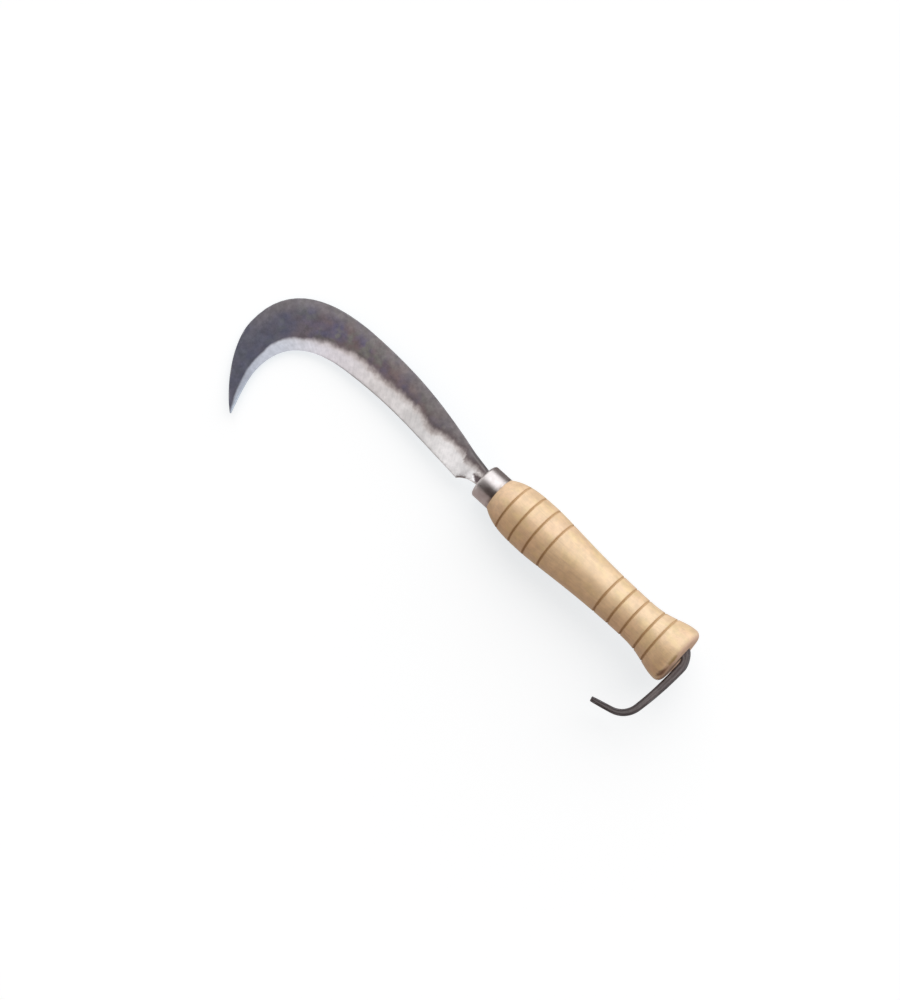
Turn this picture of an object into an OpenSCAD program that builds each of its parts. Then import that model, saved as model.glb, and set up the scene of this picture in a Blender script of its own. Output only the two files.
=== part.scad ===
// Billhook: a forged hooked blade whose tang runs through a turned handle and ends in a hanging hook.
// The origin is the middle of the grip, on the handle's axis. +X points to the blade, +Y to the side
// of the cutting edge and +Z out of the flat of the blade. A rise is towards the spine (-Y) and a drop
// towards the cutting edge (+Y), both from the handle's axis. All lengths are in millimetres.

/* [Handle] */
// Length of the bare wood, from the ferrule to the butt
handle_length = 154; // [130:1:190]
// Diameter of the swell behind the ferrule
swell_d = 36.4; // [30:0.2:44]
// Distance of the swell behind the ferrule
swell_at = 35; // [25:1:45]
// How full the shoulder is between the ferrule and the swell
shoulder_fullness = 3.6; // [2:0.1:6]
// Diameter of the waist
waist_d = 28.4; // [24:0.2:32]
// Distance of the waist from the butt
waist_at = 39; // [30:1:50]
// How soon the swell falls to the waist
waist_ease = 0.67; // [0.5:0.01:1]
// Diameter of the butt
butt_d = 40; // [36:0.2:48]
// How late the waist opens out into the butt
butt_ease = 1.4; // [1:0.05:2]
// Radius of the butt's rim
butt_round = 4; // [1:0.5:6]

/* [Grooves] */
// Distances of the front grooves behind the ferrule
front_grooves = [12.7, 24.6, 36.5, 48.8]; // [8:0.1:60]
// Distances of the rear grooves from the butt
rear_grooves = [17, 25.5, 37.8, 48.5, 59.8]; // [10:0.1:65]
// Width of a burnt groove
groove_w = 1.2; // [0.6:0.1:2]
// Depth of a burnt groove
groove_depth = 0.6; // [0.2:0.1:1.2]

/* [Ferrule] */
// Outer diameter of the ferrule
ferrule_d = 24; // [22:0.2:28]
// Length of the ferrule
ferrule_length = 14; // [10:0.5:22]
// Thickness of the ferrule's wall
ferrule_wall = 1.4; // [1:0.1:2]
// Radius of the ferrule's front edge
ferrule_round = 1.8; // [0.4:0.2:2.8]
// How far the front edge turns in over the wood
ferrule_lip = 1.6; // [0.6:0.1:2.4]

/* [Blade outline] */
// Distance of the heel ahead of the ferrule
heel_at = 14.5; // [10:0.5:24]
// Rise of the spine at the heel
heel_rise = 9; // [7:0.2:14]
// Drop of the heel's corner
heel_drop = 10.9; // [8:0.1:16]
// Angle at which the heel's corner falls back to the neck
heel_notch = 45; // [25:1:65]
// Distance of the spine's belly ahead of the ferrule
belly_at = 115; // [95:1:130]
// Rise of the spine's belly
belly_rise = 22.3; // [18:0.2:30]
// Angle at which the spine climbs from the heel
spine_climb = 14; // [8:1:20]
// Foremost reach of the blade ahead of the ferrule
beak_reach = 185.5; // [175:0.5:210]
// Drop of the foremost point
beak_drop = 26; // [16:0.5:36]
// Distance ahead of the ferrule at which the cutting edge turns into the hook
turn_at = 117; // [100:1:130]
// Drop of the cutting edge at that turn
turn_drop = 8.1; // [4:0.1:12]
// Angle of the cutting edge at that turn
turn_angle = 5.4; // [2:0.1:12]
// Angle at which the cutting edge leaves the heel
edge_fall = 4; // [0:0.1:6]
// Deepest reach of the cutting edge inside the hook, ahead of the ferrule
bend_at = 160.6; // [150:0.5:166]
// Drop of that deepest point
bend_drop = 46.6; // [36:0.2:54]
// Distance of the tip ahead of the ferrule
tip_at = 152.8; // [142:0.2:160]
// Drop of the tip
tip_drop = 78.5; // [70:0.5:95]
// Width of the tip's blunt end
tip_w = 1.2; // [0.8:0.1:2.5]
// Direction of the spine at the tip, from the handle's axis
tip_spine_angle = 142; // [125:1:150]
// Direction of the cutting edge at the tip, from the handle's axis
tip_edge_angle = 107; // [95:1:112]
// Fullness of the outline from the heel to the belly
back_fullness = 0.39; // [0.3:0.01:0.45]
// Fullness of the outline round the hook
hook_fullness = 0.44; // [0.35:0.01:0.5]
// Fullness of the outline up to the tip
tip_fullness = 0.3; // [0.25:0.01:0.4]

/* [Blade section] */
// Thickness of the spine at the heel
spine_thick = 4; // [3:0.1:6]
// Thickness of the spine at the tip
tip_thick = 1.8; // [1.4:0.1:2.8]
// How much thinner the flat is at the grind line than at the spine
flat_taper = 0.4; // [0:0.1:0.8]
// Width of the ground bevel at the heel
heel_bevel = 12; // [8:0.5:15]
// Width of the ground bevel where the edge turns
turn_bevel = 11; // [6:0.5:15]
// Width of the ground bevel in the hook
bend_bevel = 6.5; // [4:0.5:10]
// Width of the ground bevel at the tip
tip_bevel = 0.7; // [0.5:0.1:0.8]
// Width of the honed strip along the cutting edge
honed_w = 0.8; // [0.4:0.1:1.4]
// Thickness of the blade where the honed strip begins
honed_thick = 1.1; // [0.8:0.1:1.4]
// Thickness of the cutting edge itself
edge_thick = 0.4; // [0.2:0.1:0.7]
// Chamfer along the spine
spine_chamfer = 0.5; // [0.2:0.1:0.8]

/* [Tang] */
// Thickness of the tang
tang_thick = 6; // [5:0.1:8]
// Rise of the tang at the ferrule
neck_rise = 6.5; // [5:0.1:7]
// Drop of the tang at the ferrule
neck_drop = 5.2; // [4:0.1:6]
// Rise of the tang where it leaves the butt
tail_rise = 8.6; // [6:0.1:11]
// Width of the tang where it leaves the butt
tail_w = 7.8; // [6:0.1:10]
// Chamfer along the tang
tang_chamfer = 0.8; // [0.3:0.1:1.2]

/* [Hanging hook] */
// Gap between the butt and the hook's shank
hook_stand = 1.4; // [0.4:0.1:3]
// Width of the bar after its first bend
hook_bar = 5.7; // [4.5:0.1:7.5]
// Thickness of the bar after its first bend
hook_thick = 5; // [4:0.1:6]
// How far the first bend reaches along the butt, at the bar's inner side
bend_reach = 4; // [2:0.1:8]
// How flat the outer side of the first bend is drawn
bend_flatness = 1.33; // [1:0.01:1.6]
// Angle by which the shank bows towards the blade
shank_bow = 9.8; // [0:0.1:20]
// Length of the shank between its bends
shank_length = 37; // [25:0.5:60]
// Angle of the second bend
hook_turn = 66; // [40:1:100]
// Radius of the second bend, at the middle of the bar
hook_bend_r = 15; // [8:0.5:20]
// Length of the straight end
hook_end = 14.5; // [8:0.5:30]
// Width of the bar at its end
hook_tip_w = 3.4; // [2:0.1:4.5]
// Thickness of the bar at its end
hook_tip_thick = 2.8; // [2:0.1:4]
// How late the bar tapers towards its end
hook_ease = 1.2; // [1:0.1:3]
// Chamfer along the bar after its first bend
hook_chamfer = 1; // [0.3:0.1:1.5]
// Chamfer along the bar at its end
hook_tip_chamfer = 0.5; // [0.2:0.1:0.8]

/* [Fits] */
// Gap between the tang and its hole in the wood
tang_gap = 0.25; // [0.1:0.05:0.5]
// Gap between the ferrule and the wood's tenon
ferrule_gap = 0.05; // [0.02:0.01:0.2]
// Gap between the tenon's end and the ferrule's lip
tenon_gap = 0.3; // [0.1:0.1:1]

/* [Hidden] */

// Stations along the axis
butt_x = -handle_length / 2;
shoulder_x = handle_length / 2;
mouth_x = shoulder_x + ferrule_length;

// Ferrule and tenon
ferrule_r = ferrule_d / 2;
ferrule_bore_r = ferrule_r - ferrule_wall;
tenon_r = ferrule_bore_r - ferrule_gap;
tenon_length = ferrule_length - ferrule_wall - tenon_gap;

// Steps along the curves
blade_steps = 16;
neck_steps = 8;
tang_steps = 4;
shank_steps = 6;
fan_steps = 8;
bend_steps = 8;
profile_step = 2;
shoulder_steps = 14;
round_steps = 6;
turning_sides = 96;

// Small helpers

function mix(a, b, t) = a + (b - a) * t;
function smooth(t) = t * t * (3 - 2 * t);
function ramp(t, from, to) = smooth(min(1, max(0, (t - from) / (to - from))));
function heading(a) = [cos(a), sin(a)];
function right_of(v) = [v[1], -v[0]] / norm(v);

// The same values in rising order, each once
function ordered(v) = len(v) == 0 ? [] :
    let (middle = v[floor(len(v) / 2)])
    concat(ordered([for (x = v) if (x < middle) x]), [middle], ordered([for (x = v) if (x > middle) x]));

// The four control points of a curve that leaves p0 at angle a0 and arrives at p1 at angle a1
function curve(p0, a0, p1, a1, fullness) =
    let (reach = fullness * norm(p1 - p0))
    [p0, p0 + reach * heading(a0), p1 - reach * heading(a1), p1];
function on_curve(c, t) =
    pow(1 - t, 3) * c[0] + 3 * pow(1 - t, 2) * t * c[1] + 3 * (1 - t) * t * t * c[2] + pow(t, 3) * c[3];
function along_curve(c, t) =
    pow(1 - t, 2) * (c[1] - c[0]) + 2 * (1 - t) * t * (c[2] - c[1]) + t * t * (c[3] - c[2]);

// Handle

butt_r = butt_d / 2;
waist_r = waist_d / 2;
swell_r = swell_d / 2;
groove_places = concat(rear_grooves, [for (g = front_grooves) handle_length - g]);

// Radius of the turned wood at a distance from the butt, before the grooves
function turned_r(x) =
    x < butt_round ? butt_r - butt_round + sqrt(pow(butt_round, 2) - pow(butt_round - x, 2)) :
    x < waist_at ?
        let (u = (waist_at - x) / (waist_at - butt_round))
        mix(waist_r, butt_r, (1 - cos(180 * pow(u, butt_ease))) / 2) :
    x < handle_length - swell_at ?
        let (u = (handle_length - swell_at - x) / (handle_length - swell_at - waist_at))
        mix(waist_r, swell_r, (1 + cos(180 * pow(u, waist_ease))) / 2) :
    let (u = (handle_length - x) / swell_at)
    mix(ferrule_r, swell_r, 1 - pow(1 - u, shoulder_fullness));

function groove_cut(x) =
    max([0,
        for (g = groove_places)
            if (abs(x - g) < groove_w / 2) groove_depth * cos(180 * (x - g) / groove_w)]);

handle_stations = ordered(concat(
    [for (i = [0:round_steps]) butt_round * (1 - cos(90 * i / round_steps))],
    [for (x = [butt_round + profile_step:profile_step:handle_length - swell_at]) x],
    [for (i = [0:shoulder_steps]) handle_length - swell_at * pow(i / shoulder_steps, 2)],
    [for (g = groove_places, k = [-2:2]) g + k * groove_w / 4]));

handle_outline = concat(
    [[0, 0]],
    [for (x = handle_stations) [turned_r(x) - groove_cut(x), x]],
    [[tenon_r, handle_length], [tenon_r, handle_length + tenon_length], [0, handle_length + tenon_length]]);

// Tang, in plan: how far its two sides lie from the axis at a place along X

function tang_share(x) = (mouth_x - x) / (mouth_x - butt_x);
function tang_spine_y(x) = mix(-neck_rise, -tail_rise, tang_share(x));
function tang_edge_y(x) = mix(neck_drop, tail_w - tail_rise, tang_share(x));

// Blade outline, from the heel to the tip, measured from the ferrule's mouth

function from_mouth(ahead, drop) = [mouth_x + ahead, drop];

heel_spine = from_mouth(heel_at, -heel_rise);
heel_edge = from_mouth(heel_at, heel_drop);
belly = from_mouth(belly_at, -belly_rise);
turn = from_mouth(turn_at, turn_drop);
beak = from_mouth(beak_reach, beak_drop);
bend = from_mouth(bend_at, bend_drop);
tip_edge = from_mouth(tip_at, tip_drop);
tip_spine = tip_edge + [tip_w, 0];

spine_curves = [
    curve(heel_spine, -spine_climb, belly, 0, back_fullness),
    curve(belly, 0, beak, 90, hook_fullness),
    curve(beak, 90, tip_spine, tip_spine_angle, tip_fullness)];
edge_curves = [
    curve(heel_edge, -edge_fall, turn, turn_angle, back_fullness),
    curve(turn, turn_angle, bend, 90, hook_fullness),
    curve(bend, 90, tip_edge, tip_edge_angle, tip_fullness)];
notch_curve = curve(heel_edge, 180 + heel_notch, from_mouth(0, neck_drop), 180, back_fullness);
bevels = [heel_bevel, turn_bevel, bend_bevel, tip_bevel];

// A cross-section is ten points: five over the top from the spine to the edge, and the same five below.
// plan gives the five places in the XY plane and half their five heights.
function section(plan, half) = concat(
    [for (i = [0:4]) [plan[i][0], plan[i][1], half[i]]],
    [for (i = [4:-1:0]) [plan[i][0], plan[i][1], -half[i]]]);

// Half heights of the blade where its spine is thick, and of a chamfered bar
function blade_half(thick) =
    let (flat = thick - flat_taper)
    [thick - 2 * spine_chamfer, thick, flat, min(honed_thick, flat), edge_thick] / 2;
function bar_half(thick, chamfer) = [thick - 2 * chamfer, thick, thick, thick, thick - 2 * chamfer] / 2;

// Plan of a chamfered bar between its outer and inner side
function bar_plan(outer, inner, chamfer) =
    let (across = (inner - outer) / norm(inner - outer))
    [outer, outer + chamfer * across, (outer + inner) / 2, inner - chamfer * across, inner];

// Plan of the blade between its spine and its edge, with the bevel square to the edge
function blade_plan(spine, edge, along, bevel) =
    let (
        inward = right_of(along),
        across = (edge - spine) / norm(edge - spine),
        honed = min(honed_w, bevel / 2))
    [spine, spine + spine_chamfer * across, edge + bevel * inward, edge + honed * inward, edge];

function blade_section(k, t) =
    let (thick = mix(spine_thick, tip_thick, smooth((k + t) / len(edge_curves))))
    section(
        blade_plan(on_curve(spine_curves[k], t), on_curve(edge_curves[k], t), along_curve(edge_curves[k], t),
            mix(bevels[k], bevels[k + 1], t)),
        blade_half(thick));

// Between the heel and the ferrule the blade's section grows into the tang's, over this share of the way
neck_grows_from = 0.3;
neck_grows_to = 0.95;
heel_plan = blade_plan(heel_spine, heel_edge, along_curve(edge_curves[0], 0), heel_bevel);

function neck_section(t) =
    let (
        spine = mix(heel_spine, from_mouth(0, -neck_rise), t),
        edge = on_curve(notch_curve, t),
        shift = edge - heel_edge,
        as_blade = concat([spine, spine + heel_plan[1] - heel_spine], [for (i = [2:4]) heel_plan[i] + shift]),
        as_bar = bar_plan(spine, edge, tang_chamfer),
        grown = ramp(t, neck_grows_from, neck_grows_to))
    section(
        mix(as_blade, as_bar, grown),
        mix(blade_half(spine_thick), bar_half(tang_thick, tang_chamfer), grown));

function tang_section(x) =
    section(
        bar_plan([x, tang_spine_y(x)], [x, tang_edge_y(x)], tang_chamfer),
        bar_half(tang_thick, tang_chamfer));

// The first bend fans out round the inner corner at the butt, from the tail to the shank
fan_centre = [butt_x, tang_edge_y(butt_x) + bend_reach];
function fan_place(stand, reach, a, flatness) =
    fan_centre - [stand * pow(sin(a), flatness), reach * pow(cos(a), flatness)];

function fan_section(t) =
    let (
        a = 90 * t,
        inner = fan_place(hook_stand, bend_reach, a, 1),
        outer = fan_place(hook_stand + hook_bar, bend_reach + tail_w, a, bend_flatness),
        chamfer = mix(tang_chamfer, hook_chamfer, t))
    section(
        bar_plan(outer, inner, chamfer),
        bar_half(mix(tang_thick, hook_thick, t), chamfer));

// After the first bend the bar tapers along its middle line to the end. Its direction is given as an angle:
// 90 is along the butt, and outward(a) points to the bar's outer side.
function outward(a) = [-sin(a), -cos(a)];
function onward(a) = [-cos(a), sin(a)];

bend_length = hook_bend_r * hook_turn * PI / 180;
hook_length = shank_length + bend_length + hook_end;
shank_angle = 90;
shank_start = fan_centre + (hook_stand + hook_bar / 2) * outward(shank_angle);
bend_angle = shank_angle + shank_bow;
bend_start = bent(shank_start, shank_angle, shank_length, shank_bow);
end_angle = bend_angle + hook_turn;
end_start = bent(bend_start, bend_angle, bend_length, hook_turn);

// The place reached from p by a bar that starts in direction a and turns evenly over its length
function bent(p, a, length, turn) =
    let (chord = turn == 0 ? length : length * sin(turn / 2) / (turn * PI / 360))
    p + chord * onward(a + turn / 2);

function hook_section(middle, a, s) =
    let (
        share = pow(s / hook_length, hook_ease),
        bar = mix(hook_bar, hook_tip_w, share),
        chamfer = mix(hook_chamfer, hook_tip_chamfer, share))
    section(
        bar_plan(middle + bar / 2 * outward(a), middle - bar / 2 * outward(a), chamfer),
        bar_half(mix(hook_thick, hook_tip_thick, share), chamfer));

function hook_part(p, a, before, length, turn, steps) =
    [for (i = [1:steps])
        let (t = i / steps)
        hook_section(bent(p, a, length * t, turn * t), a + turn * t, before + length * t)];

forging_sections = concat(
    [for (k = [2:-1:0], i = [blade_steps:-1:(k > 0 ? 1 : 0)]) blade_section(k, i / blade_steps)],
    [for (i = [1:neck_steps]) neck_section(i / neck_steps)],
    [for (i = [1:tang_steps]) tang_section(mix(mouth_x, butt_x, i / tang_steps))],
    [for (i = [1:fan_steps]) fan_section(i / fan_steps)],
    hook_part(shank_start, shank_angle, 0, shank_length, shank_bow, shank_steps),
    hook_part(bend_start, bend_angle, shank_length, bend_length, hook_turn, bend_steps),
    hook_part(end_start, end_angle, shank_length + bend_length, hook_end, 0, tang_steps));

// A closed skin over sections of ten points each
module skin(sections) {
    ring = len(sections[0]);
    last = len(sections) - 1;
    sides = [for (j = [0:last - 1], i = [0:ring - 1])
        let (a = j * ring + i, b = j * ring + (i + 1) % ring)
        each [[a, b + ring, b], [a, a + ring, b + ring]]];
    ends = [for (i = [0:ring / 2 - 2])
        let (a = i, b = i + 1, c = ring - 2 - i, d = ring - 1 - i, f = last * ring)
        each [[a, c, d], [a, b, c], [f + a, f + c, f + b], [f + a, f + d, f + c]]];
    polyhedron([for (s = sections) each s], concat(sides, ends));
}

module blade() {
    color("dimgray")
    skin(forging_sections);
}

// The ferrule is a drawn ring whose rounded front edge turns in over the wood
module ferrule() {
    color("silver")
    translate([shoulder_x, 0, 0])
    rotate([0, 90, 0])
    rotate_extrude($fn = turning_sides)
    polygon(concat(
        [[ferrule_bore_r, 0], [ferrule_r, 0]],
        [for (i = [0:round_steps])
            [ferrule_r, ferrule_length] + ferrule_round * (heading(90 * i / round_steps) - [1, 1])],
        [[ferrule_bore_r - ferrule_lip, ferrule_length],
            [ferrule_bore_r - ferrule_lip, ferrule_length - ferrule_wall],
            [ferrule_bore_r, ferrule_length - ferrule_wall]]));
}

// The tang's hole runs past both ends of the wood
module tang_hole() {
    front = mouth_x;
    back = butt_x - hook_stand;
    translate([0, 0, -tang_thick / 2 - tang_gap])
    linear_extrude(tang_thick + 2 * tang_gap)
    polygon([
        [front, tang_spine_y(front) - tang_gap],
        [front, tang_edge_y(front) + tang_gap],
        [back, tang_edge_y(back) + tang_gap],
        [back, tang_spine_y(back) - tang_gap]]);
}

module handle() {
    color("burlywood")
    difference() {
        translate([butt_x, 0, 0])
        rotate([0, 90, 0])
        rotate_extrude($fn = turning_sides)
        polygon(handle_outline);
        tang_hole();
    }
}

blade();
ferrule();
handle();
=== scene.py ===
import math
import bmesh
import bpy
from mathutils import Euler, Matrix, Vector, kdtree, noise


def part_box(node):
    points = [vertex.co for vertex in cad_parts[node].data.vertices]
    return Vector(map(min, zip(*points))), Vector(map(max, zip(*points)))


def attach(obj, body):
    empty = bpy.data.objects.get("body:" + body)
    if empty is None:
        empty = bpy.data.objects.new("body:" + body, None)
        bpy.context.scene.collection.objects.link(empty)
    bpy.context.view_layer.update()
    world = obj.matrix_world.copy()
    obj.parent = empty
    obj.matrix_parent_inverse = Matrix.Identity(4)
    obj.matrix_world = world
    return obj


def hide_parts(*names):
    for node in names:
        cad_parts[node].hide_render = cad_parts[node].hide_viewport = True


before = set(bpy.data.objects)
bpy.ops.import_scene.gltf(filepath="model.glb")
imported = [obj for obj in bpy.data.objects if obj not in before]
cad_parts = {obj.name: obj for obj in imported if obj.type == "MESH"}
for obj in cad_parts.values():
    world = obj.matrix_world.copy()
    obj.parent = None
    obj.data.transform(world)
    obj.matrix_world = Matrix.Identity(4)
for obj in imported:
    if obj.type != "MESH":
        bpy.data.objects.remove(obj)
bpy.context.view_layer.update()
mm = 0.001
mergeGap = 0.001 * mm
samePlace = 0.01 * mm   # points no further apart than this count as one place
print("frame loaded:", ", ".join(sorted(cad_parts)))


# meshes

def copyOfNode(name):
    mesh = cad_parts[name].data.copy()
    if "custom_normal" in mesh.attributes:   # the solid's own shading doesn't fit a finer mesh
        mesh.attributes.remove(mesh.attributes["custom_normal"])
    bm = bmesh.new()
    bm.from_mesh(mesh)
    bpy.data.meshes.remove(mesh)
    bmesh.ops.remove_doubles(bm, verts=bm.verts, dist=mergeGap)
    return bm


def addObject(name, bm, sharpAngle=40):
    mesh = bpy.data.meshes.new(name)
    bm.to_mesh(mesh)
    bm.free()
    mesh.shade_smooth()
    mesh.set_sharp_from_angle(angle=math.radians(sharpAngle))
    made = bpy.data.objects.new(name, mesh)
    bpy.context.scene.collection.objects.link(made)
    return made


def finishPiece(piece, node, material):
    piece.data.materials.clear()
    piece.data.materials.append(material)
    low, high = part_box(node)
    for v in piece.data.vertices:   # no further out than the solid
        v.co = [min(max(c, a), b) for c, a, b in zip(v.co, low, high)]
    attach(piece, "root")
    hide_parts(node)
    print(piece.name, "finished with", len(piece.data.polygons), "faces")


def smoothStep(low, high, value):
    share = min(1, max(0, (value - low) / (high - low)))
    return share * share * (3 - 2 * share)


def interpolate(points, place):
    for (x0, y0), (x1, y1) in zip(points, points[1:]):
        if place <= x1:
            return y0 + (y1 - y0) * max(0, place - x0) / (x1 - x0)
    return points[-1][1]


def soften(bm, verts, passes, sideways=True):
    for turn in range(passes):
        bmesh.ops.smooth_vert(bm, verts=verts, factor=0.5, use_axis_x=sideways, use_axis_y=sideways,
                              use_axis_z=True)


def treeOf(points):  # finds the nearest of many points
    tree = kdtree.KDTree(len(points))
    for index, point in enumerate(points):
        tree.insert(point, index)
    tree.balance()
    return tree


# shader nodes

def addNode(tree, kind, inputs=None, **settings):
    made = tree.nodes.new("ShaderNode" + kind)
    for key, value in settings.items():
        setattr(made, key, value)
    for key, value in (inputs or {}).items():
        if isinstance(value, bpy.types.NodeSocket):
            tree.links.new(value, made.inputs[key])
        else:
            made.inputs[key].default_value = value
    return made


def calc(tree, operation, *values):
    return addNode(tree, "Math", dict(enumerate(values)), operation=operation).outputs[0]


def times(tree, value, *factors):
    for factor in factors:
        value = calc(tree, "MULTIPLY", value, factor)
    return value


def between(tree, value, low, high, toLow=0.0, toHigh=1.0):
    inputs = {"Value": value, "From Min": low, "From Max": high, "To Min": toLow, "To Max": toHigh}
    return addNode(tree, "MapRange", inputs, interpolation_type="SMOOTHSTEP").outputs[0]


def varied(tree, value, low, high):   # for a noise, most of which lies between 0.3 and 0.7
    return between(tree, value, 0.3, 0.7, low, high)


def mixValue(tree, factor, first, second):
    return addNode(tree, "Mix", {0: factor, 2: first, 3: second}, data_type="FLOAT").outputs[0]


def mixColour(tree, factor, first, second):
    return addNode(tree, "Mix", {0: factor, 6: first, 7: second}, data_type="RGBA").outputs[2]


def stretch(tree, vector, factors):
    return addNode(tree, "VectorMath", {0: vector, 1: factors}, operation="MULTIPLY").outputs[0]


def noiseOn(tree, vector, scale, detail, roughness):
    inputs = {"Vector": vector, "Scale": scale, "Detail": detail, "Roughness": roughness}
    return addNode(tree, "TexNoise", inputs).outputs[0]


def attribute(tree, name, output="Fac"):
    return addNode(tree, "Attribute", attribute_name=name).outputs[output]


def scaled(tree, colour, factor):
    return addNode(tree, "VectorMath", {0: colour, "Scale": factor}, operation="SCALE").outputs[0]


def ramp(tree, value, stops):  # colours at places from 0 to 1, the first at 0 and the last at 1
    made = addNode(tree, "ValToRGB", {0: value})
    elements = made.color_ramp.elements
    elements[0].color, elements[1].color = paint(*stops[0][1]), paint(*stops[-1][1])
    for place, colour in stops[1:-1]:
        elements.new(place).color = paint(*colour)
    return made.outputs[0]


def blotch(tree, place, centre, axis, reach):  # a soft spot drawn out along an axis
    away = addNode(tree, "VectorMath", {0: place, 1: centre}, operation="SUBTRACT").outputs[0]
    length = addNode(tree, "VectorMath", {0: away}, operation="LENGTH").outputs["Value"]
    along = addNode(tree, "VectorMath", {0: away, 1: axis}, operation="DOT_PRODUCT").outputs["Value"]
    drawn = times(tree, along, along, -0.92)
    spread = calc(tree, "SQRT", calc(tree, "MULTIPLY_ADD", length, length, drawn))
    uneven = calc(tree, "MULTIPLY_ADD", noiseOn(tree, place, 450, 3, 0.6), 0.8 * reach, spread)
    return between(tree, uneven, 1.4 * reach, 0.6 * reach)


def paint(red, green, blue):
    return (red, green, blue, 1.0)


def tinted(tree, colour, tint, *masks):  # a tint over a colour, as strong as the masks let it be
    shade, strength = tint
    return mixColour(tree, times(tree, *masks, strength), colour, paint(*shade))


def addBump(tree, shader, strength, distance, height):
    bump = addNode(tree, "Bump", {"Strength": strength, "Distance": distance, "Height": height})
    tree.links.new(bump.outputs[0], shader.inputs["Normal"])


def newMaterial(name):
    material = bpy.data.materials.new(name)
    material.use_nodes = True
    tree = material.node_tree
    tree.nodes.clear()
    shader = tree.nodes.new("ShaderNodeBsdfPrincipled")
    output = tree.nodes.new("ShaderNodeOutputMaterial")
    tree.links.new(shader.outputs[0], output.inputs["Surface"])
    return material, tree, shader


def newGroup(name, takes, gives):
    group = bpy.data.node_groups.new(name, "ShaderNodeTree")
    for socketName, kind in takes.items():
        group.interface.new_socket(socketName, in_out="INPUT", socket_type="NodeSocket" + kind)
    for socketName, kind in gives.items():
        group.interface.new_socket(socketName, in_out="OUTPUT", socket_type="NodeSocket" + kind)
    return group, group.nodes.new("NodeGroupInput"), group.nodes.new("NodeGroupOutput")


def makeMottle():  # clouds of three colours, one in the other
    takes = {"Vector": "Vector", "Scale": "Float", "First": "Color", "Second": "Color", "Third": "Color"}
    group, given, result = newGroup("mottle", takes, {"Colour": "Color"})
    vector, size, first, second, third = [given.outputs[name] for name in takes]
    broad = noiseOn(group, vector, size, 2, 0.5)
    moved = addNode(group, "VectorMath", {0: vector, 1: (3.1, 7.7, 1.9)}, operation="ADD").outputs[0]
    other = noiseOn(group, moved, times(group, size, 1.6), 2, 0.5)
    colour = mixColour(group, between(group, broad, 0.35, 0.65), first, second)
    colour = mixColour(group, between(group, other, 0.46, 0.68), colour, third)
    group.links.new(colour, result.inputs["Colour"])
    return group


def makeStreaks():  # fine lines that run one way, and a few stronger ones among them
    takes = {"Vector": "Vector", "Fineness": "Vector"}
    group, given, result = newGroup("streaks", takes, {"Fine": "Float", "Strong": "Float"})
    lines = stretch(group, given.outputs["Vector"], given.outputs["Fineness"])
    group.links.new(noiseOn(group, lines, 1, 3, 0.6), result.inputs["Fine"])
    strong = between(group, noiseOn(group, lines, 0.45, 2, 0.5), 0.60, 0.72)
    group.links.new(strong, result.inputs["Strong"])
    return group


mottle = makeMottle()
streaks = makeStreaks()
print("shared finishes ready")


def mottled(tree, place, clouds):  # clouds: how many to the metre, and their three colours
    size, first, second, third = clouds
    inputs = {"Vector": place, "Scale": size, "First": paint(*first), "Second": paint(*second),
              "Third": paint(*third)}
    return addNode(tree, "Group", inputs, node_tree=mottle).outputs["Colour"]


def streaked(tree, vector, fineness):  # the fine lines and the strong ones
    return addNode(tree, "Group", {"Vector": vector, "Fineness": fineness}, node_tree=streaks).outputs[:2]


# forging: blade, tang and hanging hook in one piece

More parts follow.
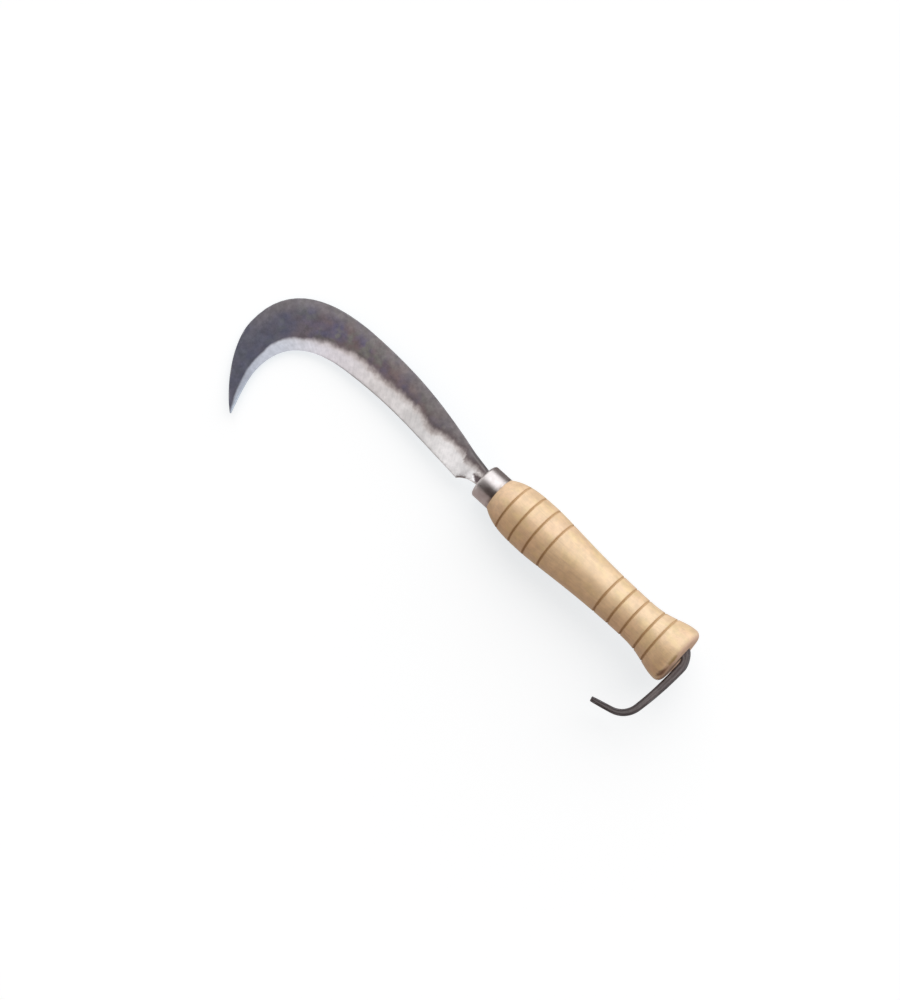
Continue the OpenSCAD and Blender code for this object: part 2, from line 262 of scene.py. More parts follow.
forging = {
    "levels": 3,               # how finely the sections are divided
    "ridgeAngle": 4,           # degrees; sharper lines along the tool stay as ridges
    "capAngle": 60,            # degrees; sharper edges across it are the ends
    "wideSide": 12 * mm,       # sides wider than this are halved first
    "edgeHalf": 0.3 * mm,      # nothing but the cutting edge is this thin
    "edgeStep": 0.4 * mm,      # distances are measured from points this close along it
    "flatHalf": 1.2 * mm,      # the flats lie at least this far from the middle
    "honedReach": 1.5 * mm,    # no softening this close to the cutting edge
    "softAngle": 8,            # degrees; sharper edges are softened
    "softPasses": 3,
    "tailPasses": 6,           # the hanging hook is rounder
    "endReach": 3 * mm,        # and its end is blunted over this length
    "endPasses": 40,
    "tailSwell": 0.18 * mm,    # gives back what the softening and the marks take off the hook
    "heelReach": 26 * mm,      # the heel runs smoothly into the neck over this length
    "heelPasses": 160,
    "heelEdge": 0.8 * mm,      # but stays as it is this close to its edge
    "hammerSize": 9 * mm,
    "hammerDepth": 0.14 * mm,
    "pitSize": 2.4 * mm,
    "pitDepth": 0.04 * mm,
    "hollow": [(99.6, 1.1), (94.0, 5.0), (90.0, 4.4), (90.0, -0.4)],   # dent left by the forging, in mm
    "hollowEdge": (-0.3 * mm, 0.6 * mm),
    "hollowDepth": 0.5 * mm,
    # width of the ground bevel against the distance from the tip along the cutting edge, in mm
    "grindLine": [(0, 0.8), (12, 2.8), (22, 3.6), (32, 4.6), (44, 5.8), (48, 7.2), (60, 8.2), (65, 7.4),
                  (72, 7.9), (80, 9.6), (88, 10.0), (96, 11.5), (112, 12.0), (120, 11.0), (136, 12.0),
                  (152, 12.2), (160, 10.7), (168, 9.4), (176, 13.5), (184, 13.6), (192, 15.0), (200, 13.6),
                  (207, 10.6), (212, 7.8), (218, 7.4)],
    "clouds": (80.0, (0.150, 0.109, 0.109), (0.097, 0.085, 0.140), (0.142, 0.136, 0.127)),
    "tints": {                 # colours laid over the others, and how strongly
        "greyer": ((0.136, 0.118, 0.116), 0.6),
        "blue": ((0.070, 0.078, 0.115), 0.8),
        "spine": ((0.212, 0.196, 0.202), 0.7),
        "violet": ((0.122, 0.102, 0.158), 0.6),
        "scorched": ((0.092, 0.066, 0.068), 0.75),
        "tail": ((0.116, 0.094, 0.098), 0.65),
        "litStripe": ((0.150, 0.136, 0.138), 0.15),
        "hookEnd": ((0.052, 0.044, 0.045), 0.55),
        # painted shade along the sides and the spine
        "rim": ((0.045, 0.041, 0.045), 0.7),
        "neckRimShade": ((0.040, 0.035, 0.037), 0.7),
        "neckStreak": ((0.30, 0.29, 0.29), 0.4),
        "wear": ((0.30, 0.29, 0.30), 0.55),
        "scratch": ((0.40, 0.38, 0.38), 0.18),
        "tinge": ((0.47, 0.39, 0.36), 0.45),
    },
    "ridgeHighlightSpot": ((96.8 * mm, -0.9 * mm, 2.5 * mm), (0.920, 0.390, 0.0), 1.3 * mm),    # bright ground steel on the neck's ridge, partly a painted highlight: middle, run and reach
    "violetSpot": ((241 * mm, -2.4 * mm, 1.8 * mm), (0.86, 0.51, 0.0), 4 * mm),
    "grindMarks": (700.0, 40.0, 60.0),    # how fine they are along the edge, across it and through
    "grindFingers": (380.0, 90.0, 60.0),
    # ground steel from the tip to the heel, whitest at the heel, and bluish in the hook as a painted
    # reflection of blue sky
    "steelAndSkyAlong": [(0.0, (0.36, 0.395, 0.455)), (0.12, (0.38, 0.400, 0.465)), (0.25, (0.53, 0.545, 0.605)),
                   (0.38, (0.67, 0.625, 0.66)), (0.54, (0.60, 0.56, 0.555)), (0.74, (0.63, 0.605, 0.60)),
                   (0.86, (0.79, 0.76, 0.76)), (1.0, (0.79, 0.765, 0.765))],
}


def straightOn(edge, vert):  # the edges met by going straight on through the mesh
    path = [edge]
    while True:
        touching = set(path[-1].link_faces)
        onward = [e for e in vert.link_edges if not touching & set(e.link_faces)]
        if len(onward) != 1 or onward[0] in path:
            return path
        path.append(onward[0])
        vert = onward[0].other_vert(vert)


def rungsFrom(edge):  # the rungs of one strip of four-sided faces, both ways from this one
    rungs = [edge]
    for start in edge.link_faces:
        face, rung = start, edge
        while len(face.verts) == 4:
            rung = next(e for e in face.edges if not set(e.verts) & set(rung.verts))
            if rung in rungs:
                break
            rungs.append(rung)
            following = [f for f in rung.link_faces if f is not face]
            if not following:
                break
            face = following[0]
    return rungs


def edgeLine(bm, neckX):  # the cutting edge from the tip to the heel, and on round the notch to the ferrule
    thin = {v for v in bm.verts if 0 < v.co.z < forging["edgeHalf"] and v.co.x > neckX}
    vert = max(thin, key=lambda v: v.co.y)
    first = next(e for e in vert.link_edges if e.other_vert(vert) in thin)
    line = [vert.co]
    for edge in straightOn(first, first.other_vert(vert)):
        vert = edge.other_vert(vert)
        line.append(vert.co)
        if vert.co.x < neckX:
            break
    return [Vector((co.x, co.y, 0)) for co in line]


def pointsAlong(line, step):  # closely spaced points and their distances from the line's first point
    points, places, done = [], [], 0.0
    for a, b in zip(line, line[1:]):
        length = (b - a).length
        count = max(1, round(length / step))
        points += [a.lerp(b, i / count) for i in range(count)]
        places += [done + length * i / count for i in range(count)]
        done += length
    return points, places


def buildForging():
    bm = copyOfNode("blade")
    crease = bm.edges.layers.float.new("crease_edge")
    bmesh.ops.join_triangles(bm, faces=bm.faces, angle_face_threshold=math.pi, angle_shape_threshold=math.pi)
    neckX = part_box("ferrule")[1].x
    edgePoints, edgePlaces = pointsAlong(edgeLine(bm, neckX), forging["edgeStep"])

    # the widest edge across the flat shows which way the sections lie
    flats = [e for e in bm.edges if e.verts[0].co.x > neckX
             and min(v.co.z for v in e.verts) > forging["flatHalf"]]
    widest = max(flats, key=lambda e: abs(e.verts[0].co.y - e.verts[1].co.y))
    section = straightOn(widest, widest.verts[1])
    rungs = {rung for side in section for rung in rungsFrom(side)}
    for e in bm.edges:
        angle = math.degrees(e.calc_face_angle(0))
        if angle > forging["capAngle" if e in rungs else "ridgeAngle"]:
            e[crease] = 1.0
    wideSides = [side for side in section if side.calc_length() > forging["wideSide"]]
    wide = [rung for side in wideSides for rung in rungsFrom(side)]
    bmesh.ops.subdivide_edges(bm, edges=wide, cuts=1, use_grid_fill=True)

    plain = addObject("plain_forging", bm)
    divide = plain.modifiers.new("divide", "SUBSURF")
    divide.levels = divide.render_levels = forging["levels"]
    fine = bmesh.new()
    fine.from_object(plain, bpy.context.evaluated_depsgraph_get())
    bpy.data.objects.remove(plain)
    finishForging(fine, treeOf(edgePoints), edgePlaces)
    return addObject("forged_blade", fine, 30)


def hollowShare(co):  # 1 inside the dent of the neck, 0 outside
    corners = [Vector(corner) * mm for corner in forging["hollow"]]
    gaps = []
    for a, b in zip(corners, corners[1:] + corners[:1]):
        gaps.append((co.xy - a).dot((b - a).orthogonal().normalized()))
    return smoothStep(*forging["hollowEdge"], min(gaps))


def finishForging(bm, edgeTree, edgePlaces):
    flow = bm.verts.layers.float_vector.new("edgeFlow")
    ground = bm.verts.layers.float.new("ground")
    rimGap = bm.verts.layers.float.new("rimGap")
    hollow = bm.verts.layers.float.new("hollow")
    faceShift = 50 * mm   # the marks on the two faces differ
    for v in bm.verts:
        nearest, index, across = edgeTree.find(Vector((v.co.x, v.co.y, 0)))
        v[flow] = Vector((edgePlaces[index], across, math.copysign(faceShift, v.co.z)))
        v[ground] = interpolate(forging["grindLine"], edgePlaces[index] / mm) * mm - across
        v[hollow] = hollowShare(v.co)

    sharp = math.radians(forging["softAngle"])
    soft = [v for v in bm.verts if v[flow].y > forging["honedReach"]
            and max(e.calc_face_angle(0) for e in v.link_edges) > sharp]
    soften(bm, soft, forging["softPasses"])
    butt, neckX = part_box("handle"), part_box("ferrule")[1].x
    tail = [v for v in bm.verts if v.co.x < butt[0].x or (v.co.x < 0 and v.co.y > butt[1].y)]
    soften(bm, tail, forging["tailPasses"])
    endX = max(v.co.x for v in tail)
    soften(bm, [v for v in tail if v.co.x > endX - forging["endReach"]], forging["endPasses"])
    bm.normal_update()
    for v in tail:
        v.co += v.normal * forging["tailSwell"]
    heel = [v for v in bm.verts if neckX < v.co.x < neckX + forging["heelReach"]
            and abs(v.normal.z) > 0.5 and v[flow].y > forging["heelEdge"]]
    soften(bm, heel, forging["heelPasses"], sideways=False)
    bm.normal_update()
    rims = [v.co.copy() for v in bm.verts if abs(v.normal.z) < 0.45 and v[flow].y > forging["honedReach"]]
    rimTree = treeOf(rims)
    for v in bm.verts:
        v[rimGap] = rimTree.find(v.co)[2]

    # hammer marks, scale pits and the neck's dent, all inwards
    pitShift = Vector((17, 5, 3))
    for v in bm.verts:
        onScale = smoothStep(1 * mm, -1 * mm, v[ground])
        hammer = 0.5 + 0.5 * noise.noise(v.co / forging["hammerSize"])
        pit = 0.5 + 0.5 * noise.noise(v.co / forging["pitSize"] + pitShift)
        depth = onScale * (forging["hammerDepth"] * hammer + forging["pitDepth"] * pit)
        v.co -= v.normal * (depth + forging["hollowDepth"] * v[hollow] * abs(v.normal.z))
    bm.normal_update()


def forgedSteel():
    material, tree, shader = newMaterial("forged_steel")
    tints = forging["tints"]
    place = addNode(tree, "TexCoord").outputs["Object"]
    along, outward = addNode(tree, "SeparateXYZ", {0: place}).outputs[:2]
    edgeFlow = attribute(tree, "edgeFlow", "Vector")
    fromTip, across, face = addNode(tree, "SeparateXYZ", {0: edgeFlow}).outputs[:3]
    ground, rimGap, hollow = [attribute(tree, name) for name in ("ground", "rimGap", "hollow")]
    onBlade, onTail = between(tree, along, 90 * mm, 115 * mm), between(tree, along, 0.0, -70 * mm)
    byNeck = between(tree, along, 118 * mm, 100 * mm)
    worked = between(tree, fromTip, 40 * mm, 95 * mm)   # clean grind at the tip, uneven from here on

    # the grinding marks lean towards the tip
    lean = calc(tree, "MULTIPLY_ADD", across, 0.6, fromTip)
    leaning = addNode(tree, "CombineXYZ", {0: lean, 1: across, 2: face}).outputs[0]
    fineLines, scratches = streaked(tree, leaning, forging["grindMarks"])

    # uneven line between the grind and the scale
    fingers = noiseOn(tree, stretch(tree, leaning, forging["grindFingers"]), 1, 3, 0.6)
    wander = noiseOn(tree, place, 150, 3, 0.6)
    ragged = ground
    for uneven, more, least in ((fingers, 1.8 * mm, 0.6 * mm), (wander, 5 * mm, 0.8 * mm)):
        reach = calc(tree, "MULTIPLY_ADD", worked, more, least)
        ragged = calc(tree, "MULTIPLY_ADD", calc(tree, "SUBTRACT", uneven, 0.5), reach, ragged)
    softness = calc(tree, "MULTIPLY_ADD", worked, 1.9 * mm, 0.9 * mm)
    bright = between(tree, calc(tree, "DIVIDE", ragged, softness), -1.0, 1.0)
    bright = times(tree, bright, calc(tree, "SUBTRACT", 1.0, hollow))
    # painted highlight: the neck's ridge is laid bright as ground steel
    bright = calc(tree, "MAXIMUM", bright, blotch(tree, place, *forging["ridgeHighlightSpot"]))

    # forge scale: grey-brown, violet and green-grey clouds
    # greyer by the heel, blue at the hook and paler by the spine
    scale = mottled(tree, place, forging["clouds"])
    scale = tinted(tree, scale, tints["greyer"], between(tree, fromTip, 120 * mm, 165 * mm))
    scale = tinted(tree, scale, tints["blue"], between(tree, fromTip, 95 * mm, 45 * mm))
    scale = tinted(tree, scale, tints["spine"], between(tree, rimGap, 11 * mm, 2 * mm),
                   between(tree, fromTip, 35 * mm, 62 * mm), onBlade)
    scale = tinted(tree, scale, tints["violet"], blotch(tree, place, *forging["violetSpot"]))
    scale = tinted(tree, scale, tints["scorched"], between(tree, ragged, -6 * mm, -0.5 * mm), worked)
    scale = tinted(tree, scale, tints["tail"], onTail)
    # painted highlight: a lighter stripe down the middle of the hook bar, where its top faces the light
    scale = tinted(tree, scale, tints["litStripe"], between(tree, rimGap, 0.8 * mm, 2 * mm), onTail)
    scale = tinted(tree, scale, tints["hookEnd"], between(tree, outward, 26 * mm, 50 * mm), onTail)
    specks = noiseOn(tree, place, 420, 3, 0.55)
    patches = varied(tree, noiseOn(tree, place, 190, 3, 0.6), 0.86, 1.16)
    scale = scaled(tree, scale, times(tree, patches, varied(tree, specks, 0.86, 1.14)))

    # painted shade: a dark rim along the sides and the spine, fainter on the tail, with a worn line beside it
    rim = between(tree, rimGap, 0.5 * mm, 0.1 * mm)
    scale = tinted(tree, scale, tints["rim"], rim, calc(tree, "MULTIPLY_ADD", onTail, -0.786, 1.0))
    # painted shade: a darker band along the spine by the neck
    scale = tinted(tree, scale, tints["neckRimShade"], between(tree, rimGap, 1.8 * mm, 0.6 * mm), byNeck)
    scale = tinted(tree, scale, tints["neckStreak"], between(tree, rimGap, 1.4 * mm, 2 * mm),
                   between(tree, rimGap, 3 * mm, 2.2 * mm), byNeck)
    wear = times(tree, between(tree, rimGap, 0.3 * mm, 0.6 * mm), between(tree, rimGap, 1.2 * mm, 0.7 * mm),
                 between(tree, noiseOn(tree, place, 120, 2, 0.5), 0.40, 0.65))
    scale = tinted(tree, scale, tints["wear"], wear)

    # ground steel, with a painted reflection of blue sky in the hook
    steel = ramp(tree, times(tree, fromTip, 4.5), forging["steelAndSkyAlong"])   # 1 at 222 mm from the tip
    cloudy = varied(tree, noiseOn(tree, place, 70, 3, 0.55), 0.95, 1.12)
    dappled = varied(tree, noiseOn(tree, place, 330, 3, 0.6), 0.93, 1.07)
    steel = scaled(tree, steel, times(tree, cloudy, dappled, varied(tree, fineLines, 0.95, 1.03)))
    steel = tinted(tree, steel, tints["scratch"], scratches)
    steel = tinted(tree, steel, tints["tinge"], between(tree, ragged, 4.2 * mm, 0.4 * mm), worked)

    tree.links.new(mixColour(tree, bright, scale, steel), shader.inputs["Base Color"])
    metal = calc(tree, "MAXIMUM", bright, calc(tree, "MULTIPLY_ADD", wear, 0.4, 0.35))
    tree.links.new(metal, shader.inputs["Metallic"])
    rough = mixValue(tree, bright, varied(tree, specks, 0.44, 0.60), varied(tree, fineLines, 0.36, 0.28))
    tree.links.new(rough, shader.inputs["Roughness"])
    height = mixValue(tree, bright, noiseOn(tree, place, 900, 4, 0.65), times(tree, fineLines, 0.25))
    addBump(tree, shader, 0.35, 0.2 * mm, height)
    return material


# ferrule: a drawn steel ring whose rounded front edge turns in over the wood

ferrule = {
    "steps": 128,
    "frontRound": 1.8 * mm,
    "frontSegments": 8,
    "easedEdge": 0.25 * mm,
    "easedSegments": 3,
    "clouds": (140.0, (0.53, 0.485, 0.475), (0.50, 0.455, 0.445), (0.55, 0.51, 0.50)),
    "turning": (1100.0, 30.0, 30.0),   # how fine the turning lines are along the ring and across it
    "tints": {"line": ((0.40, 0.37, 0.36), 0.15), "grimeAndWoodReflection": ((0.20, 0.14, 0.10), 0.6)},
    "grimeAndReflectionReach": 2.8 * mm,            # how far the grime and the painted reflection of the wood come out of the joint with the wood
}


def radiusOf(vert):
    return math.hypot(vert.co.y, vert.co.z)


def spinProfile(bm, points, steps, closed):
    verts = [bm.verts.new((x, 0, r)) for x, r in points]
    pairs = list(zip(verts, verts[1:])) + ([(verts[-1], verts[0])] if closed else [])
    edges = [bm.edges.new(pair) for pair in pairs]
    bmesh.ops.spin(bm, geom=verts + edges, cent=(0, 0, 0), axis=(1, 0, 0), angle=2 * math.pi, steps=steps,
                   use_merge=True)
    bmesh.ops.remove_doubles(bm, verts=bm.verts, dist=mergeGap)
    bmesh.ops.recalc_face_normals(bm, faces=bm.faces)


def buildFerrule():
    cad = copyOfNode("ferrule")
    low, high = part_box("ferrule")
    bore = min(radiusOf(v) for v in cad.verts if v.co.x < low.x + samePlace)
    lip = min(radiusOf(v) for v in cad.verts)
    lipBack = min(v.co.x for v in cad.verts if radiusOf(v) < lip + samePlace)
    cad.free()
    bm = bmesh.new()
    profile = [(low.x, bore), (low.x, high.y), (high.x, high.y),
               (high.x, lip), (lipBack, lip), (lipBack, bore)]
    spinProfile(bm, profile, ferrule["steps"], True)

    def easeLoop(x, r, offset, segments):
        loop = [e for e in bm.edges if all(abs(v.co.x - x) < samePlace and abs(radiusOf(v) - r) < samePlace
                                           for v in e.verts)]
        bmesh.ops.bevel(bm, geom=loop, offset=offset, affect="EDGES", segments=segments, profile=0.5,
                        material=-1)

    easeLoop(high.x, high.y, ferrule["frontRound"], ferrule["frontSegments"])
    for x, r in ((low.x, high.y), (high.x, lip)):
        easeLoop(x, r, ferrule["easedEdge"], ferrule["easedSegments"])
    return addObject("steel_ferrule", bm, 30)


def ferruleSteel():
    material, tree, shader = newMaterial("ferrule_steel")
    tints = ferrule["tints"]
    place = addNode(tree, "TexCoord").outputs["Object"]
    along = addNode(tree, "SeparateXYZ", {0: place}).outputs[0]
    fineLines, strongLines = streaked(tree, place, ferrule["turning"])
    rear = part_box("ferrule")[0].x
    grimeAndWoodReflection = between(tree, along, rear + ferrule["grimeAndReflectionReach"], rear)
    broken = between(tree, noiseOn(tree, place, 260, 2, 0.5), 0.35, 0.65)
    colour = mottled(tree, place, ferrule["clouds"])
    colour = tinted(tree, colour, tints["line"], strongLines)
    # grime, and a painted brown reflection of the wood, darker towards the joint
    colour = tinted(tree, colour, tints["grimeAndWoodReflection"], grimeAndWoodReflection, broken)
    tree.links.new(colour, shader.inputs["Base Color"])
    shader.inputs["Metallic"].default_value = 1.0
    tree.links.new(varied(tree, fineLines, 0.30, 0.34), shader.inputs["Roughness"])
    addBump(tree, shader, 0.08, 0.1 * mm, fineLines)
    return material


# handle: turned wood with burnt grooves, and the slot that the tang runs through

handle = {
    "steps": 144,
    "slotCorner": 0.25,        # how square the slot is; smaller is squarer
    "grooveSag": 0.3 * mm,     # a groove lies at least this far below the wood beside it
    "besideGroove": 0.8 * mm,
    "plainButt": 5 * mm,       # no groove this close to the butt's end
    "plainFront": 1 * mm,      # or to the ferrule
    "scorchReach": 1.6 * mm,   # how far the burn shows either side of a groove's middle
    "stationGap": 0.2 * mm,    # stations of the profile lie no closer
    "tones": (26.0, (0.80, 0.60, 0.375), (0.76, 0.55, 0.33), (0.79, 0.565, 0.355)),
    "heart": (0.0, 34 * mm, -46 * mm),   # the growth rings' middle lies outside the handle
    "ringsPerMetre": 420.0,
    "grain": (45.0, 1300.0, 1300.0),     # how fine it is along the handle and across it
    "tints": {                 # colours laid over the wood, and how strongly
        "late": ((0.62, 0.43, 0.26), 0.15),
        "grain": ((0.48, 0.31, 0.17), 0.20),
        "yellow": ((0.76, 0.60, 0.30), 0.45),
        "end": ((0.74, 0.53, 0.44), 0.65),
        "rimLine": ((0.30, 0.17, 0.10), 0.6),
        "smudge": ((0.15, 0.065, 0.030), 0.9),
        "stain": ((0.30, 0.20, 0.05), 0.8),
        "shadeByTang": ((0.16, 0.11, 0.085), 0.8),
        "halo": ((0.50, 0.31, 0.16), 0.25),
        "burn": ((0.42, 0.25, 0.11), 1.0),
    },
    "stainsAndShade": {                # middle measured from the butt's end, run and reach
        "smudge": ((1.6 * mm, 14.8 * mm, 12.2 * mm), (-0.16, -0.75, 0.64), 2.6 * mm),
        "stain": ((1.1 * mm, 4.2 * mm, 18.2 * mm), (0.0, 0.975, -0.22), 2.2 * mm),
        # painted shade where the hook bar meets the butt
        "shadeByTang": ((0.0, 5 * mm, -1 * mm), (0.0, 1.0, 0.0), 5.5 * mm),
    },
    "gloss": 0.95,
    "ior": 1.58,
}


def findGrooves(profile, start, end):  # places where the wood sags most
    def sag(x):
        beside = [interpolate(profile, x + side * handle["besideGroove"]) for side in (-1, 1)]
        return sum(beside) / 2 - interpolate(profile, x)
    sags = [(sag(x), x) for x, r in profile if start < x < end]
    deep = [(s, x) for s, x in sags if s > handle["grooveSag"]]
    near = handle["scorchReach"]
    return [x for s, x in deep if all(s >= other for other, y in deep if abs(x - y) < near)]


def buildHandle():
    cad = copyOfNode("handle")
    stations = {}
    for v in cad.verts:
        x = round(v.co.x, 6)
        stations[x] = max(stations.get(x, 0), radiusOf(v))
    low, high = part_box("handle")
    profile = sorted(stations.items())
    tenon = profile[-1][1]
    shoulder = max(x for x, r in profile if r > tenon + 0.1 * mm)
    grooves = findGrooves(profile, low.x + handle["plainButt"], shoulder - handle["plainFront"])
    holes = []
    for end in (low.x, high.x):
        rim = stations[round(end, 6)]
        inner = [v.co for v in cad.verts if abs(v.co.x - end) < samePlace and radiusOf(v) < rim - 0.5 * mm]
        holes.append([min(c.y for c in inner), max(c.y for c in inner), max(c.z for c in inner)])
    cad.free()

    # more stations where a burn ends, and the step down to the tenon
    for x in [groove + side * handle["scorchReach"] for groove in grooves for side in (-1, -0.65, 0.65, 1)]:
        if min(abs(x - place) for place, r in profile) > handle["stationGap"]:
            profile = sorted(profile + [(x, interpolate(profile, x))])
    profile.insert(len(profile) - 1, (shoulder, tenon))
    print("handle profile:", len(profile), "stations,", len(grooves), "grooves")

    bm = bmesh.new()
    spinProfile(bm, profile, handle["steps"], False)
    rear = [e for e in bm.edges if e.is_boundary and e.verts[0].co.x < 0]
    front = [e for e in bm.edges if e.is_boundary and e.verts[0].co.x > 0]
    loops = [rear, slotLoop(bm, low.x, holes[0]), slotLoop(bm, high.x, holes[1]), front]
    for first, second in zip(loops, loops[1:]):
        bmesh.ops.bridge_loops(bm, edges=first + second)
    bmesh.ops.recalc_face_normals(bm, faces=bm.faces)
    burn = bm.verts.layers.float.new("burn")
    for v in bm.verts:
        gap = min(abs(v.co.x - g) for g in grooves)
        v[burn] = max(0, 1 - gap / handle["scorchReach"]) if radiusOf(v) > tenon else 0
    return addObject("turned_handle", bm, 30)


def slotLoop(bm, x, hole):  # a loop of edges round the slot at this end
    lowY, highY, halfZ = hole

    def squared(share):
        return math.copysign(abs(share) ** handle["slotCorner"], share)

    verts = []
    for step in range(handle["steps"]):
        angle = 2 * math.pi * step / handle["steps"]
        y = (lowY + highY) / 2 + squared(math.cos(angle)) * (highY - lowY) / 2
        verts.append(bm.verts.new((x, y, squared(math.sin(angle)) * halfZ)))
    return [bm.edges.new(pair) for pair in zip(verts, verts[1:] + verts[:1])]


def handleWood():
    material, tree, shader = newMaterial("handle_wood")
    tints = handle["tints"]
    place = addNode(tree, "TexCoord").outputs["Object"]
    along, outward = addNode(tree, "SeparateXYZ", {0: place}).outputs[:2]
    burn = attribute(tree, "burn")

    # growth rings, grain and yellow flecks
    heart = addNode(tree, "VectorMath", {0: place, 1: handle["heart"]}, operation="SUBTRACT").outputs[0]
    beside = stretch(tree, heart, (0.0, 1.0, 1.0))
    reach = addNode(tree, "VectorMath", {0: beside}, operation="LENGTH").outputs["Value"]
    warp = calc(tree, "SUBTRACT", noiseOn(tree, stretch(tree, place, (9.0, 32.0, 32.0)), 1, 2, 0.5), 0.5)
    reach = calc(tree, "MULTIPLY_ADD", warp, 10 * mm, reach)
    rings = calc(tree, "FRACT", times(tree, reach, handle["ringsPerMetre"]))
    wood = mottled(tree, place, handle["tones"])
    wood = tinted(tree, wood, tints["late"], between(tree, rings, 0.25, 0.85),
                  between(tree, rings, 1.0, 0.88))
    fineGrain, strongGrain = streaked(tree, place, handle["grain"])
    wood = tinted(tree, wood, tints["grain"], strongGrain)
    wood = scaled(tree, wood, between(tree, fineGrain, 0.25, 0.75, 0.95, 1.05))
    flecks = noiseOn(tree, stretch(tree, place, (70.0, 170.0, 170.0)), 1, 2, 0.5)
    wood = tinted(tree, wood, tints["yellow"], between(tree, flecks, 0.45, 0.70))
    wood = scaled(tree, wood, varied(tree, noiseOn(tree, place, 180, 4, 0.65), 0.90, 1.09))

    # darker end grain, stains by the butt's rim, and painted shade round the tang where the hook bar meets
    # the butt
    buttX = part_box("handle")[0].x
    end = between(tree, along, buttX + 2.6 * mm, buttX + 0.6 * mm)
    wood = tinted(tree, wood, tints["end"], end)
    wood = tinted(tree, wood, tints["rimLine"], between(tree, along, buttX + 1.4 * mm, buttX + 0.6 * mm),
                  between(tree, outward, 2 * mm, 8 * mm))
    stainsAndShade = {}
    for name, ((x, y, z), run, spread) in handle["stainsAndShade"].items():
        stainsAndShade[name] = blotch(tree, place, (buttX + x, y, z), run, spread)
        wood = tinted(tree, wood, tints[name], stainsAndShade[name])

    # burnt grooves, darker on the shaded side as painted shade and fading towards the lit side
    ember = calc(tree, "MULTIPLY_ADD", noiseOn(tree, place, 220, 2, 0.5), 0.36, -0.18)
    line = between(tree, calc(tree, "ADD", burn, ember), 0.30, 0.62)
    wood = tinted(tree, wood, tints["halo"], between(tree, burn, 0.05, 0.65))
    # painted shade: the burn is stronger on the side away from the key light
    depth = between(tree, outward, -15 * mm, 6 * mm, 0.50, 0.88)
    wood = tinted(tree, wood, tints["burn"], line, depth)

    tree.links.new(wood, shader.inputs["Base Color"])
    rough = varied(tree, fineGrain, 0.46, 0.38)
    for mask, more in ((line, 0.25), (end, 0.5), (stainsAndShade["smudge"], 0.3)):
        rough = calc(tree, "MULTIPLY_ADD", mask, more, rough)
    tree.links.new(rough, shader.inputs["Roughness"])
    shader.inputs["Specular IOR Level"].default_value = handle["gloss"]
    shader.inputs["IOR"].default_value = handle["ior"]
    addBump(tree, shader, 0.22, 0.2 * mm, fineGrain)
    return material


finishPiece(buildForging(), "blade", forgedSteel())
finishPiece(buildFerrule(), "ferrule", ferruleSteel())
finishPiece(buildHandle(), "handle", handleWood())


# stage: floor, light and camera

stage = {
    "restNormal": (-0.078, 0.033, 1.0),   # the tool lies on its swell and its beak
    "floorRadius": 6.0,
    "floorPaper": (0.42, 0.38, 0.34),     # what the floor gives back to the object
    "floorGlow": (0.66, 0.715, 0.755),    # brings the floor up to white where the camera or a metal sees it
    "fill": (0.40, 0.31, 0.24),
    "keyFrom": (0.15, -0.805, 0.575),
    "keyColour": (0.93, 1.0, 1.10),
    "keyStrength": 2.66,
    "keySpread": 80,
}

# cards that show only in reflections: middle, length and width, turn in degrees, colour
cards = {
    "key_card": ((0.09, -0.719, 0.695), (1.90, 1.202), (46, 0, 0), (2.00, 2.06, 2.10)),
    "near_card": ((0.008, 0.0453, 0.0849), (0.2155, 0.1013), (-25.5, 0, 0), (0.06, 0.040, 0.033)),
    "wall_card": ((0.008, 0.0856, 0.0278), (0.2155, 0.058), (-72, 0, 0), (0.50, 0.42, 0.40)),
    "far_card": ((0.72, 0.50, 0.48), (0.78, 0.26), (-46, 0, 0), (0.02, 0.018, 0.017)),
    "lit_side_card": ((0.06, -0.1585, -0.0085), (0.28, 0.283), (-1.9, -4.5, 0), (0.26, 0.225, 0.22)),
    "shade_side_card": ((0.06, 0.1585, -0.0190), (0.28, 0.283), (-1.9, -4.5, 0), (0.58, 0.50, 0.48)),
    # painted shadow: a dark card under the tool that stands for the floor's shadow in reflections
    "floor_shadow_card": ((0.0, 0.0, -0.0219), (0.20, 0.034), (-1.9, -4.5, 0), (0.25, 0.17, 0.12)),
}

shot = {
    "cameraAt": (-0.200, 0.060, 1.400),
    "aimAt": (0.0983, 0.0238, 0.0),
    "roll": -137.155,
    "lens": 81.1,
}


def lookMatrix(at, aim, upHint):
    back = (Vector(at) - Vector(aim)).normalized()
    side = Vector(upHint).cross(back).normalized()
    return Matrix.Translation(at) @ Matrix((side, back.cross(side), back)).transposed().to_4x4()


def seenRays(tree):
    path = addNode(tree, "LightPath")
    seen = calc(tree, "MAXIMUM", path.outputs["Is Camera Ray"], path.outputs["Is Glossy Ray"])
    return calc(tree, "MAXIMUM", seen, path.outputs["Is Transmission Ray"])


def bareMaterial(name):
    material = bpy.data.materials.new(name)
    material.use_nodes = True
    material.node_tree.nodes.clear()
    material.cycles.emission_sampling = "NONE"   # lights nothing
    return material, material.node_tree, material.node_tree.nodes.new("ShaderNodeOutputMaterial")


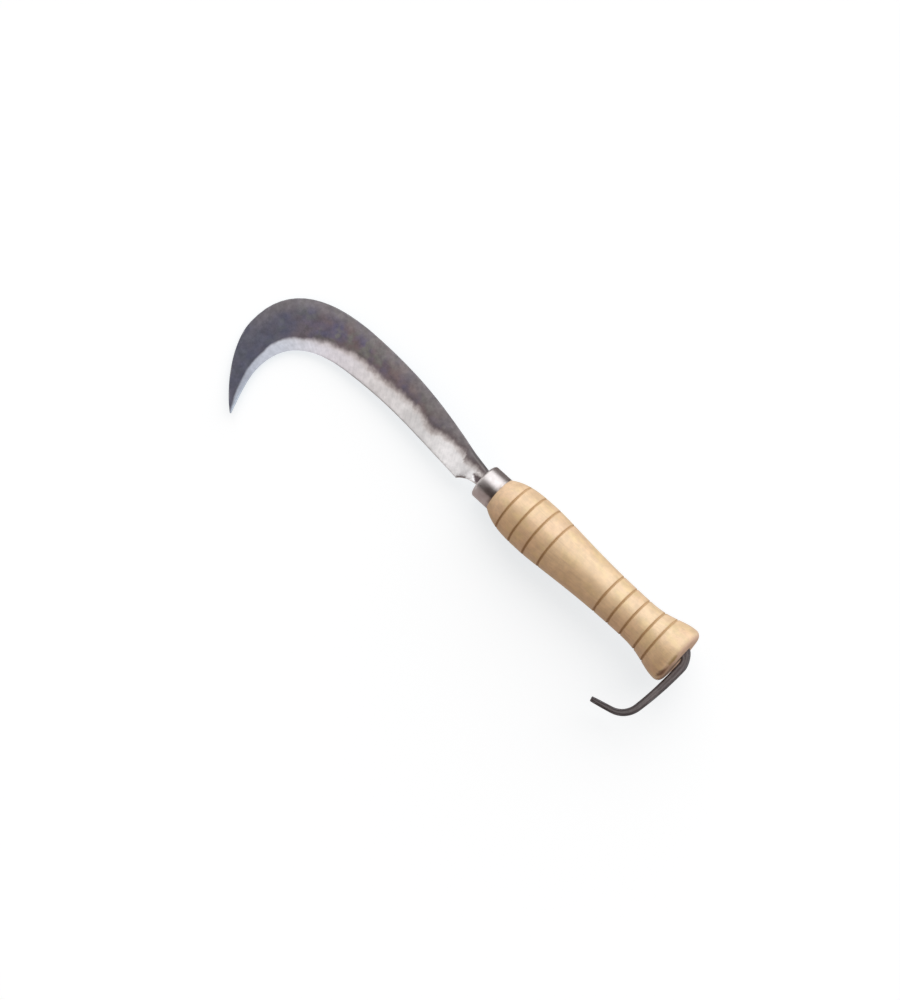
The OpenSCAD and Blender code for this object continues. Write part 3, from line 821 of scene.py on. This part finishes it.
def makeFloor():
    normal = Vector(stage["restNormal"]).normalized()
    touch = min(normal.dot(v.co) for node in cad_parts.values() for v in node.data.vertices)
    bm = bmesh.new()
    bmesh.ops.create_circle(bm, cap_ends=True, segments=64, radius=stage["floorRadius"])
    floor = addObject("floor", bm)
    turned = normal.to_track_quat("Z", "Y").to_matrix().to_4x4()
    floor.matrix_world = Matrix.Translation(normal * touch) @ turned
    material, tree, output = bareMaterial("floor_white")
    paper = addNode(tree, "BsdfDiffuse", {"Color": paint(*stage["floorPaper"])})
    glow = addNode(tree, "Emission", {"Color": paint(*stage["floorGlow"]), "Strength": seenRays(tree)})
    both = addNode(tree, "AddShader", {0: paper.outputs[0], 1: glow.outputs[0]})
    tree.links.new(both.outputs[0], output.inputs["Surface"])
    floor.data.materials.append(material)
    print("floor at", round(touch / mm, 2), "mm")


def makeCard(name, middle, size, turn, colour):
    bm = bmesh.new()
    bmesh.ops.create_grid(bm, x_segments=1, y_segments=1, size=0.5)
    card = addObject(name, bm)
    turned = Euler([math.radians(angle) for angle in turn]).to_matrix().to_4x4()
    card.matrix_world = Matrix.Translation(middle) @ turned @ Matrix.Diagonal((*size, 1, 1))
    material, tree, output = bareMaterial(name)
    plain = addNode(tree, "Emission", {"Color": paint(*colour), "Strength": 1.0})
    tree.links.new(plain.outputs[0], output.inputs["Surface"])
    card.data.materials.append(material)
    card.visible_camera = card.visible_diffuse = card.visible_shadow = False


def makeLight():
    world = bpy.data.worlds.new("studio")
    bpy.context.scene.world = world
    world.use_nodes = True
    tree = world.node_tree
    light = mixColour(tree, seenRays(tree), paint(*stage["fill"]), paint(1.0, 1.0, 1.0))
    tree.links.new(light, tree.nodes["Background"].inputs["Color"])
    data = bpy.data.lights.new("key", "SUN")
    data.angle = math.radians(stage["keySpread"])
    data.energy = stage["keyStrength"]
    data.color = stage["keyColour"]
    key = bpy.data.objects.new("key", data)
    key.matrix_world = lookMatrix(stage["keyFrom"], (0, 0, 0), (0, 0, 1))
    key.visible_glossy = False   # its reflection is the key card's
    bpy.context.scene.collection.objects.link(key)


def makeCamera():
    data = bpy.data.cameras.new("photo_camera")
    data.lens = shot["lens"]
    camera = bpy.data.objects.new("photo_camera", data)
    roll = Matrix.Rotation(math.radians(shot["roll"]), 4, "Z")
    camera.matrix_world = lookMatrix(shot["cameraAt"], shot["aimAt"], (0, 1, 0)) @ roll
    bpy.context.scene.collection.objects.link(camera)
    bpy.context.scene.camera = camera


makeFloor()
for name, card in cards.items():
    makeCard(name, *card)
makeLight()
makeCamera()
bpy.context.scene.view_settings.view_transform = "Standard"
print("stage set")
